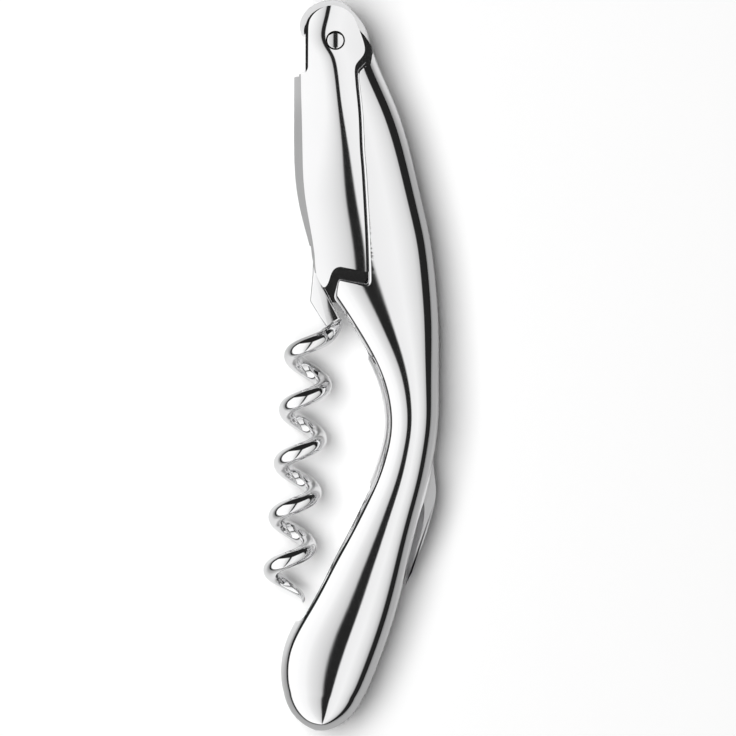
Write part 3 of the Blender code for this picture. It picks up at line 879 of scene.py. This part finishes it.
@dataclass
class Lever:
    """The bottle lever: two domed cheeks with a back web, forked below into the lip ledge and teeth."""

    half_thickness: float = 0.0069
    inner_half: float = 0.0050
    fork_half: float = 0.0032
    lip_least: float = 0.0002
    lip_end_width: float = 0.5
    web: float = 0.0015
    blank_reach: float = 0.0068
    back_bevel: float = 0.0015
    bevel_fall: float = 1.6
    far_slope: float = 0.32
    bore_radius: float = 0.0017
    pin_radius: float = 0.00145
    pin_dome_radius: float = 0.010
    pin_top: float = 0.00678
    pin_tilt: float = 0.03
    pin_rim_parts: int = 12
    pin_rim_cut: float = 0.3
    pin_tip_radius: float = 0.000005
    rows: int = 320
    columns: int = 64
    line_points: int = 160
    head_points: int = 120
    side_points: int = 60
    notch_points: int = 70
    shoulder_points: int = 24
    pin_steps: int = 24
    pin_sides: int = 96

    head_shares = (
        (-0.110, 0.029), (-0.104, 0.081), (-0.077, 0.117), (-0.037, 0.138), (0.005, 0.140),
        (0.042, 0.125), (0.067, 0.104), (0.093, 0.053), (0.114, -0.005), (0.118, -0.046),
        (0.103, -0.072), (0.083, -0.098), (0.078, -0.129),
    )
    side_shares = (
        (0.078, -0.129), (0.083, -0.192), (0.093, -0.296), (0.099, -0.439), (0.104, -0.503),
        (0.113, -0.647), (0.121, -0.803), (0.125, -0.937),
    )
    ledge_shares = ((0.125, -0.937), (0.021, -0.917))
    notch_shares = (
        (0.021, -0.917), (0.004, -0.921), (-0.010, -0.933), (-0.020, -0.954), (-0.033, -0.989),
        (-0.046, -1.0), (-0.058, -0.989), (-0.079, -0.943),
    )
    back_shares = (
        (-0.168, 0.200), (-0.168, -0.100), (-0.168, -0.270), (-0.168, -0.439), (-0.164, -0.543),
        (-0.151, -0.647), (-0.120, -0.776), (-0.094, -0.880), (-0.083, -0.943), (-0.060, -1.020),
    )
    shoulder_shares = (
        (-0.200, -0.152), (-0.162, -0.145), (-0.151, -0.138), (-0.123, -0.129), (-0.111, -0.109),
        (-0.110, 0.029),
    )
    crest_shares = (
        (-0.020, 0.200), (-0.027, 0.140), (-0.040, 0.080), (-0.050, 0.017), (-0.036, -0.026),
        (-0.015, -0.062), (0.002, -0.132), (0.014, -0.235), (0.040, -0.439), (0.063, -0.643),
        (0.095, -0.846), (0.107, -1.030),
    )
    bevel_shares = (
        (0.80, 0.200), (0.80, -0.100), (0.86, -0.235), (1.0, -0.439), (0.88, -0.643), (0.65, -0.765),
        (0.30, -0.879), (0.13, -0.960), (0.13, -1.030),
    )
    crest_radius_shares = (
        (0.20, 0.200), (0.20, 0.000), (0.18, -0.132), (0.18, -0.235), (0.32, -0.439), (0.50, -0.643),
        (0.53, -0.846), (0.46, -1.030),
    )
    blank_end_shares = (0.190, -1.015)
    fork_top_share = -0.705
    lip_end_share = -0.83

    @classmethod
    def side_line(cls, count: int) -> list[Vector]:
        """The lever's edge that lies along the handle.

        Args:
            count: How many points to lay.

        Returns:
            The points from the neck down.
        """
        return smooth_line(cls.side_shares, LEVER_LENGTH, count)

    def dome(self, crest_x: float, x: float, radius: float) -> float:
        """Height of the cheek, round over its crest line and nearly flat away from it.

        Args:
            crest_x: The crest line's X in this row.
            x: The place across.
            radius: The rounding at the crest.

        Returns:
            The height above the mid-plane.
        """
        reach = self.far_slope * radius
        return self.half_thickness - self.far_slope * (math.hypot(x - crest_x, reach) - reach)

    def blank(self) -> bpy.types.Object:
        """A domed bar with its back corners cut off at a slant, from past the head to past the teeth.

        Returns:
            The new object.
        """
        lines = {
            name: smooth_line(shares, LEVER_LENGTH, self.line_points)
            for name, shares in (
                ("back", self.back_shares), ("crest", self.crest_shares),
                ("bevel", self.bevel_shares), ("radius", self.crest_radius_shares),
            )
        }
        right = self.blank_reach
        rows = FINENESS.count(self.rows)
        top, foot = (share * LEVER_LENGTH for share in self.blank_end_shares)
        rings = []
        for i in range(rows + 1):
            y = top + (foot - top) * i / rows
            left, crest_x = across_at(lines["back"], y), across_at(lines["crest"], y)
            bevel = across_at(lines["bevel"], y) * self.back_bevel / LEVER_LENGTH
            radius = across_at(lines["radius"], y)
            crease = left + bevel
            count = FINENESS.count(self.columns)
            xs = [crease + (right - crease) * k / count for k in range(count + 1)]
            upper = [(x, y, self.dome(crest_x, x, radius)) for x in xs]
            foot_height = max(upper[0][2] - bevel * self.bevel_fall, self.fork_half + self.lip_least)
            half = [(left, y, foot_height), *upper]
            rings.append(half + [(x, y, -z) for x, y, z in reversed(half)])
        return Shaper.loft("lever_blank", rings)

    def outline(self) -> list[Vector]:
        """The lever's plan, open at its back, where the blank has its own line.

        Returns:
            The outline.
        """
        head = smooth_line(self.head_shares, LEVER_LENGTH, self.head_points)
        notch = smooth_line(self.notch_shares, LEVER_LENGTH, self.notch_points)
        shoulder = smooth_line(self.shoulder_shares[:-1], LEVER_LENGTH, self.shoulder_points)
        left = shoulder[0].x - OVERRUN
        beyond = [Vector((left, notch[-1].y + OVERRUN)), Vector((left, shoulder[0].y))]
        return head[:-1] + self.side_line(self.side_points) + notch + beyond + shoulder

    def build(self) -> bpy.types.Object:
        """Shapes the lever.

        Returns:
            The lever, drawn about its pin.
        """
        lever = self.blank()
        past = self.half_thickness + OVERRUN
        Shaper.combine(lever, Shaper.slab("lever_outline", self.outline(), -past, past), "INTERSECT")

        back = smooth_line(self.back_shares, LEVER_LENGTH, self.line_points)
        fork_top = self.fork_top_share * LEVER_LENGTH
        web_top = self.shoulder_shares[1][1] * LEVER_LENGTH
        lip_end = self.lip_end_share * LEVER_LENGTH
        web = []
        for point in back:
            if lip_end < point.y < web_top:
                left = min(1, max(0, (point.y - lip_end) / (fork_top - lip_end)))
                width = self.web * (self.lip_end_width + (1 - self.lip_end_width) * left)
                web.append(point + Vector((width, 0)))
        web.insert(0, Vector((web[0].x, web_top)))
        far = LEVER_LENGTH + OVERRUN
        around = [(-far, web[-1].y), (-far, -far), (far, -far), (far, far), (-far, far), (-far, web_top)]
        channel = web + [Vector(point) for point in around]
        cutter = Shaper.slab("lever_channel", channel, -self.inner_half, self.inner_half)
        Shaper.combine(lever, cutter, "DIFFERENCE")
        mouth = [(-far, fork_top), (-far, -far), (far, -far), (far, fork_top)]
        cutter = Shaper.slab("fork_mouth", mouth, -self.fork_half, self.fork_half)
        Shaper.combine(lever, cutter, "DIFFERENCE")
        Shaper.drill(lever, Vector((0, 0, 0)), self.bore_radius, -past, past)
        return lever

    def build_pin(self) -> bpy.types.Object:
        """Shapes the lever's rivet, with a low dome on each head.

        Returns:
            The pin, drawn about its middle.
        """
        edge = self.pin_radius
        rounding = edge / self.pin_rim_parts
        cut = rounding * self.pin_rim_cut
        upper = []
        for k in range(self.pin_steps + 1):
            radius = (edge - rounding) * (1 - k / self.pin_steps)
            sag = self.pin_dome_radius - math.sqrt(self.pin_dome_radius**2 - radius**2)
            upper.append((max(radius, self.pin_tip_radius), self.pin_top - sag))
        shoulder = upper[0][1]
        rim = [(edge, shoulder - rounding), (edge - cut, shoulder - cut)]
        profile = rim + upper
        profile = [(radius, -height) for radius, height in reversed(profile)] + profile
        pin = Shaper.turned("lever_pin_heads", profile, self.pin_sides)
        for corner in pin.data.vertices:
            corner.co.z += (corner.co.y - edge) * self.pin_tilt * (1 if corner.co.z > 0 else -1)
        return pin

    def dress(self, finishes: dict) -> bpy.types.Object:
        """Builds the lever, its pin and its washers' finish.

        Args:
            finishes: The materials by name.

        Returns:
            The lever.
        """
        lever = self.build()
        lever.name = "lever_casting"
        Shaper.place(lever, LEVER_PIVOT)
        Shaper.shade(lever, LEVER_SMOOTH_ANGLE)
        Shaper.paint(lever, finishes["polished"])
        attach(lever, "lever_arm")
        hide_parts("lever")

        pin = self.build_pin()
        Shaper.place(pin, LEVER_PIVOT)
        Shaper.shade(pin)
        Shaper.paint(pin, finishes["pin"])
        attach(pin, "body")
        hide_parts("lever_pin")

        for name in ("lever_washer_front", "lever_washer_back"):
            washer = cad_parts[name]
            Shaper.paint(washer, finishes["bronze"])
        return lever


@dataclass
class Worm:
    """The worm: a flattened shank on a blind pin, bent into an open right-hand coil."""

    wire_radius: float = 0.00147
    coil_radius: float = 0.00307
    pitch: float = 0.0096
    lean_degrees: float = 5.54
    axis_offset: float = 0.0031
    start_drop: float = 0.0140
    turns: float = 5.03
    point_turns: float = 0.55
    point_power: float = 0.75
    point_radius: float = 0.00012
    shank_half: float = 0.00128
    shank_bevel: float = 0.00035
    shank_bevel_steps: int = 4
    shank_slant: float = 0.11
    eye_radius: float = 0.0025
    eye_start: float = -75.0
    eye_sweep: float = 235.0
    eye_steps: int = 48
    bore_radius: float = 0.00125
    sides: int = 40
    points_per_turn: int = 56

    outer_shares = (
        (-0.29, 0.04), (-0.328, -0.06), (-0.335, -0.315), (-0.370, -0.671), (-0.156, -1.012),
        (-0.120, -1.012),
    )
    inner_shares = (
        (0.030, -0.925), (0.042, -0.904), (-0.096, -0.644), (-0.175, -0.49), (-0.165, -0.30),
        (-0.080, -0.185),
    )
    lead_shares = (
        (0.054, -0.921, 0.0, 0.14), (0.036, -0.955, 0.010, 0.36), (0.005, -1.003, 0.034, 0.62),
        (-0.045, -1.060, 0.072, 0.84), (-0.105, -1.115, 0.118, 0.97),
    )
    lead_turns: float = 0.11
    lead_points: int = 40

    def wire_path(self) -> tuple[list, list]:
        """The wire's centre line from inside the shank to its point.

        Returns:
            The points and the radius at each.
        """
        lean = math.radians(self.lean_degrees)
        down = Vector((-math.sin(lean), -math.cos(lean), 0))
        across = Vector((math.cos(lean), -math.sin(lean), 0))
        front = Vector((0, 0, 1))
        start = Vector((-self.axis_offset, 0, 0)) + down * self.start_drop
        path, radii = [], []
        steps = round(self.turns * FINENESS.count(self.points_per_turn))
        for k in range(steps + 1):
            turns = self.lead_turns + (self.turns - self.lead_turns) * k / steps
            left = (self.turns - turns) / self.point_turns
            taper = min(1, left) ** self.point_power
            angle = math.tau * turns
            reach = (across * math.cos(angle) + front * math.sin(angle)) * self.coil_radius
            path.append(start + down * (self.pitch * turns) + reach)
            radii.append(self.point_radius + (self.wire_radius - self.point_radius) * taper)
        lead = [(x * SHANK_REACH, y * SHANK_REACH, z * SHANK_REACH, share * self.wire_radius)
                for x, y, z, share in self.lead_shares]
        knots = np.array(lead + [(*path[0], radii[0]), (*path[2], radii[2])])
        joined = spline(knots, self.lead_points)[:-1]
        path = [Vector(row[:3]) for row in joined] + path[3:]
        radii = [float(row[3]) for row in joined] + radii[3:]
        return path, radii

    def wire(self) -> bpy.types.Object:
        """The round wire of the coil.

        Returns:
            The new object.
        """
        path, radii = self.wire_path()
        sides = FINENESS.count(self.sides)
        rings = []
        side = None
        for i, point in enumerate(path):
            ahead = (path[min(i + 1, len(path) - 1)] - path[max(i - 1, 0)]).normalized()
            side = ahead.orthogonal() if side is None else side - ahead * side.dot(ahead)
            side.normalize()
            up = ahead.cross(side)
            ring = []
            for k in range(sides):
                turn = math.tau * k / sides
                ring.append(point + radii[i] * (side * math.cos(turn) + up * math.sin(turn)))
            rings.append(ring)
        return Shaper.loft("worm_wire", rings)

    def build(self) -> bpy.types.Object:
        """Shapes the worm.

        Returns:
            The worm, drawn about its pin.
        """
        eye = []
        for k in range(self.eye_steps + 1):
            turn = math.radians(self.eye_start + self.eye_sweep * k / self.eye_steps)
            eye.append(Vector((math.cos(turn), math.sin(turn))) * self.eye_radius)
        outer, inner = plan(self.outer_shares, SHANK_REACH), plan(self.inner_shares, SHANK_REACH)
        half = self.shank_half
        shape = eye + outer + inner
        worm = Shaper.slab("worm_shank", shape, -half, half, self.shank_bevel, self.shank_bevel_steps)
        for corner in worm.data.vertices:
            slant = (corner.co.x - inner[1].x) * self.shank_slant
            corner.co.z += slant * (1 if corner.co.z > 0 else -1)
        Shaper.combine(worm, self.wire(), "UNION")
        Shaper.drill(worm, Vector((0, 0, 0)), self.bore_radius, -2 * half, 2 * half)
        return worm

    def dress(self, finishes: dict) -> bpy.types.Object:
        """Builds the worm and the finish of its pin.

        Args:
            finishes: The materials by name.

        Returns:
            The worm.
        """
        worm = self.build()
        worm.name = "worm_coil"
        Shaper.place(worm, WORM_PIVOT)
        Shaper.shade(worm)
        Shaper.paint(worm, finishes["wire"])
        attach(worm, "worm_arm")
        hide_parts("worm")
        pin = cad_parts["worm_pin"]
        Shaper.paint(pin, finishes["pin"])
        return worm


@dataclass
class FoilKnife:
    """The foil knife: a hooked blade ground on its inner edge, on a blind pin."""

    half_thickness: float = 0.0007
    tang_radius: float = 0.0022
    tang_start: float = 195.0
    tang_sweep: float = 220.0
    tang_steps: int = 32
    edge_points: int = 60
    grind: float = 0.0009
    grind_start_fade: int = 6
    grind_end_fade: int = 8
    relief_parts: int = 7
    bore_radius: float = 0.00105

    back_shares = (
        (0.088, -0.050), (0.100, -0.181), (0.110, -0.295), (0.093, -0.416), (0.060, -0.537),
        (0.022, -0.658), (-0.045, -0.809), (-0.117, -0.993),
    )
    edge_shares = (
        (-0.117, -0.993), (-0.100, -0.844), (-0.064, -0.689), (-0.026, -0.548), (-0.019, -0.400),
        (-0.044, -0.267), (-0.075, -0.141),
    )

    section_shares = (
        (-1.0, 1.0, 1.0), (-0.86, 1.0, 0.0), (0.0, 0.0, 0.0), (0.86, 1.0, 0.0), (1.0, 1.0, 1.0),
    )

    def build(self) -> bpy.types.Object:
        """Shapes the knife.

        Returns:
            The knife, drawn about its pin.
        """
        back = smooth_line(self.back_shares, KNIFE_LENGTH, self.edge_points)
        edge = smooth_line(self.edge_shares, KNIFE_LENGTH, self.edge_points)[1:]
        tang = []
        for k in range(self.tang_steps + 1):
            turn = math.radians(self.tang_start - self.tang_sweep * k / self.tang_steps)
            tang.append(Vector((math.cos(turn), math.sin(turn))) * self.tang_radius)
        layers = []
        relief = self.half_thickness / self.relief_parts
        last = len(edge) - 1
        fades = [
            min(1, k / self.grind_start_fade, (last - k) / self.grind_end_fade) for k in range(last + 1)
        ]
        for height, ground_share, inset_share in self.section_shares:
            ground = [
                point + Vector((self.grind * ground_share * fade, 0)) for point, fade in zip(edge, fades)
            ]
            spine = [point - Vector((relief * inset_share, 0)) for point in back]
            ring = tang + spine + ground
            layers.append([(*point, height * self.half_thickness) for point in ring])
        return Shaper.loft("foil_knife_blade", layers)

    def dress(self, finishes: dict) -> bpy.types.Object:
        """Builds the knife and the finish of its pin.

        Args:
            finishes: The materials by name.

        Returns:
            The knife.
        """
        knife = self.build()
        Shaper.drill(knife, Vector((0, 0, 0)), self.bore_radius, -OVERRUN, OVERRUN)
        Shaper.place(knife, KNIFE_PIVOT)
        Shaper.shade(knife)
        Shaper.paint(knife, finishes["blade"])
        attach(knife, "knife_arm")
        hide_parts("foil_knife")
        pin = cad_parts["knife_pin"]
        Shaper.paint(pin, finishes["pin"])
        return knife


@dataclass
class Studio:
    """The pale table, the light tent, the key lamp and the camera."""

    table_size: float = 6.0
    tent_radius: float = 3.0
    tent_grid: tuple = (96, 48)
    tent_level: float = 1.30
    key_power: float = 29.0
    ambient: float = 0.12
    key_size: tuple = (1.06, 1.3)
    key_place: tuple = (-0.56, 0.05, 1.5)
    camera_height: float = 1.2
    sensor_width: float = 36.0
    clip_range: tuple = (0.1, 10.0)
    view_width: float = 0.1310
    view_centre: tuple = (0.002949, -0.000471)
    dark_tone: float = 0.02
    north_edge: float = 0.26
    north_spread: float = 0.35
    north_blur: float = 0.04
    skirt_slope: tuple = (-0.16, -0.30, 1.0)
    skirt_edge: float = 0.20
    skirt_blur: float = 0.06
    # The table's tone as mirrored in the steel is a painted reflection: painted grey near the tool, fading
    # to dark away from it.
    painted_reflection_oval: tuple = (1.0, 0.5, 1.0)
    painted_reflection_reach: tuple = (0.05, 0.16)
    painted_reflection_tones: tuple = (0.46, 0.02)
    # Two painted bright spots on the mirrored table, which lift its painted reflection where the steel shows
    # them.
    painted_glint_reach: tuple = (0.016, 0.045)
    painted_glint_lift: float = 0.36
    painted_glint_centres: tuple = ((-0.012, -0.024, 0.0), (-0.003, 0.068, 0.0))
    tent_tones: tuple = (
        (-90, 0.0), (-86, 0.0), (-80, 0.95), (-45, 0.90), (-25, 0.84), (-9, 0.60), (-5.5, 0.50), (-4.0, 0.0),
        (4.0, 0.0), (5.5, 0.75), (25, 0.80), (52, 0.62), (66, 0.42), (72, 0.0), (90, 0.0),
    )

    def tent_material(self) -> bpy.types.Material:
        """Two wide soft panels, with a dark slot overhead between them, a dark skirt and a dark end.

        Returns:
            The new material.
        """
        material = bpy.data.materials.new("light_tent")
        material.use_nodes = True
        bench = NodeBench(material.node_tree)
        bench.nodes.clear()
        place = bench.add("TexCoord").outputs["Object"]
        unit = bench.reckon("VectorMath", "NORMALIZE", place).outputs["Vector"]
        parts = bench.add("SeparateXYZ", Vector=unit).outputs
        turn = bench.reckon("Math", "ARCTAN2", parts["X"], parts["Z"]).outputs["Value"]
        share = bench.ranged(turn, (-math.pi / 2, math.pi / 2), soft=False)
        ramp = bench.add("ValToRGB", Fac=share)
        stops = ramp.color_ramp.elements
        while len(stops) < len(self.tent_tones):
            stops.new(0.5)
        for stop, (angle, tone) in zip(stops, self.tent_tones):
            stop.position = (angle + 90) / 180
            stop.color = (tone, tone, tone, 1)

        aside = bench.reckon("Math", "ABSOLUTE", parts["X"]).outputs["Value"]
        spread = -self.north_spread
        northing = bench.reckon("Math", "MULTIPLY_ADD", aside, spread, parts["Y"]).outputs["Value"]
        north = bench.ranged(northing, (self.north_edge, self.north_edge + self.north_blur), (1.0, 0.0))
        rise = bench.reckon("VectorMath", "DOT_PRODUCT", unit, self.skirt_slope).outputs["Value"]
        skirt = bench.ranged(rise, (self.skirt_edge, self.skirt_edge + self.skirt_blur))
        lit = bench.reckon("Math", "MULTIPLY", skirt, north).outputs["Value"]
        level = bench.reckon("Math", "MULTIPLY", lit, self.tent_level).outputs["Value"]

        glow = bench.add("Emission", Color=ramp.outputs["Color"], Strength=level).outputs["Emission"]
        gloom = bench.add("Emission", Strength=self.dark_tone).outputs["Emission"]
        both = bench.nodes.new("ShaderNodeAddShader")
        bench.feed(both.inputs[0], glow)
        bench.feed(both.inputs[1], gloom)
        bench.add("OutputMaterial", Surface=both.outputs["Shader"])
        return material

    def table_material(self) -> bpy.types.Material:
        """A pale matt table, which the camera sees white. As mirrored in the polished steel it has a painted
        reflection: grey near the tool, fading to near black further off, with two painted bright spots.

        Returns:
            The new material.
        """
        material = bpy.data.materials.new("pale_table_painted_reflection")
        material.use_nodes = True
        bench = NodeBench(material.node_tree)
        bench.nodes.clear()
        place = bench.add("TexCoord").outputs["Object"]
        # Painted reflection: glossy rays see the table painted grey near the tool, fading to near black
        # further off.
        oval = bench.reckon("VectorMath", "MULTIPLY", place, self.painted_reflection_oval).outputs["Vector"]
        away = bench.reckon("VectorMath", "LENGTH", oval).outputs["Value"]
        painted_reflection_falloff = bench.ranged(away, self.painted_reflection_reach, self.painted_reflection_tones, soft=False)
        # Painted highlights: the mirrored tone is lifted near two spots, so the steel shows brighter patches
        # there.
        spots = [
            bench.reckon("VectorMath", "DISTANCE", place, centre).outputs["Value"]
            for centre in self.painted_glint_centres
        ]
        nearest = bench.reckon("Math", "MINIMUM", *spots).outputs["Value"]
        painted_glint = bench.ranged(nearest, self.painted_glint_reach, (self.painted_glint_lift, 0.0))
        tone = bench.reckon("Math", "ADD", painted_reflection_falloff, painted_glint).outputs["Value"]
        # Only glossy rays see the painted tone. The camera and the lighting see the table white.
        mirrored = bench.add("LightPath").outputs["Is Glossy Ray"]
        seen = bench.nodes.new("ShaderNodeMix")
        for name, value in (("Factor", mirrored), ("A", 1.0), ("B", tone)):
            bench.feed(seen.inputs[name], value)
        matt = bench.add("BsdfDiffuse", Color=seen.outputs["Result"]).outputs["BSDF"]
        bench.add("OutputMaterial", Surface=matt)
        return material

    def build(self) -> None:
        """Lays the table, hangs the tent, and sets the lamp, world and camera."""
        bpy.ops.mesh.primitive_plane_add(size=self.table_size, location=(0, 0, 0))
        table = bpy.context.object
        table.name = "table_top"
        table.data.materials.append(self.table_material())

        segments, rings = self.tent_grid
        bpy.ops.mesh.primitive_uv_sphere_add(segments=segments, ring_count=rings, radius=self.tent_radius)
        tent = bpy.context.object
        tent.name = "light_tent"
        tent.data.materials.append(self.tent_material())
        tent.visible_camera = False
        tent.visible_diffuse = False
        tent.visible_shadow = False
        tent.visible_transmission = False
        tent.visible_volume_scatter = False

        lamp = bpy.data.lights.new("key_panel", "AREA")
        lamp.shape = "RECTANGLE"
        lamp.size, lamp.size_y = self.key_size
        lamp.energy = self.key_power
        key = bpy.data.objects.new("key_panel", lamp)
        bpy.context.scene.collection.objects.link(key)
        key.location = self.key_place
        key.visible_glossy = False
        key.visible_camera = False

        world = bpy.data.worlds.new("white_room")
        world.use_nodes = True
        bench = NodeBench(world.node_tree)
        level = bench.nodes.new("ShaderNodeMix")
        direct = bench.add("LightPath").outputs["Is Camera Ray"]
        for name, value in (("Factor", direct), ("A", self.ambient), ("B", 1.0)):
            bench.feed(level.inputs[name], value)
        back = bench.nodes["Background"]
        back.inputs["Color"].default_value = (1, 1, 1, 1)
        bench.feed(back.inputs["Strength"], level.outputs["Result"])
        bpy.context.scene.world = world

        lens = bpy.data.cameras.new("overhead_camera")
        lens.sensor_width = self.sensor_width
        reach = self.camera_height - MID_HEIGHT
        lens.lens = lens.sensor_width * reach / self.view_width
        lens.clip_start, lens.clip_end = self.clip_range
        camera = bpy.data.objects.new("overhead_camera", lens)
        bpy.context.scene.collection.objects.link(camera)
        camera.location = (*self.view_centre, self.camera_height)
        bpy.context.scene.camera = camera
        bpy.context.scene.view_settings.view_transform = "Standard"


def main() -> None:
    """Dresses the corkscrew and sets up the studio."""
    logging.basicConfig(level=logging.INFO)
    finishes = {
        "polished": SteelFinish("mirror_polished_steel").material(),
        "wire": SteelFinish("polished_wire", roughness=0.06, wipe_scale=300.0).material(),
        "blade": SteelFinish("ground_blade_steel", roughness=0.30, scratch_depth=0.04).material(),
        "pin": SteelFinish("turned_pin_steel", roughness=0.06, grain=(1.0, 1.0, 0.1)).material(),
        "bronze": SteelFinish("rolled_bronze", colour=(0.66, 0.50, 0.30, 1.0), roughness=0.3).material(),
    }
    for assembly in (Handle(), Lever(), Worm(), FoilKnife()):
        assembly.dress(finishes)
    Studio().build()


if __name__ == "__main__":
    main()
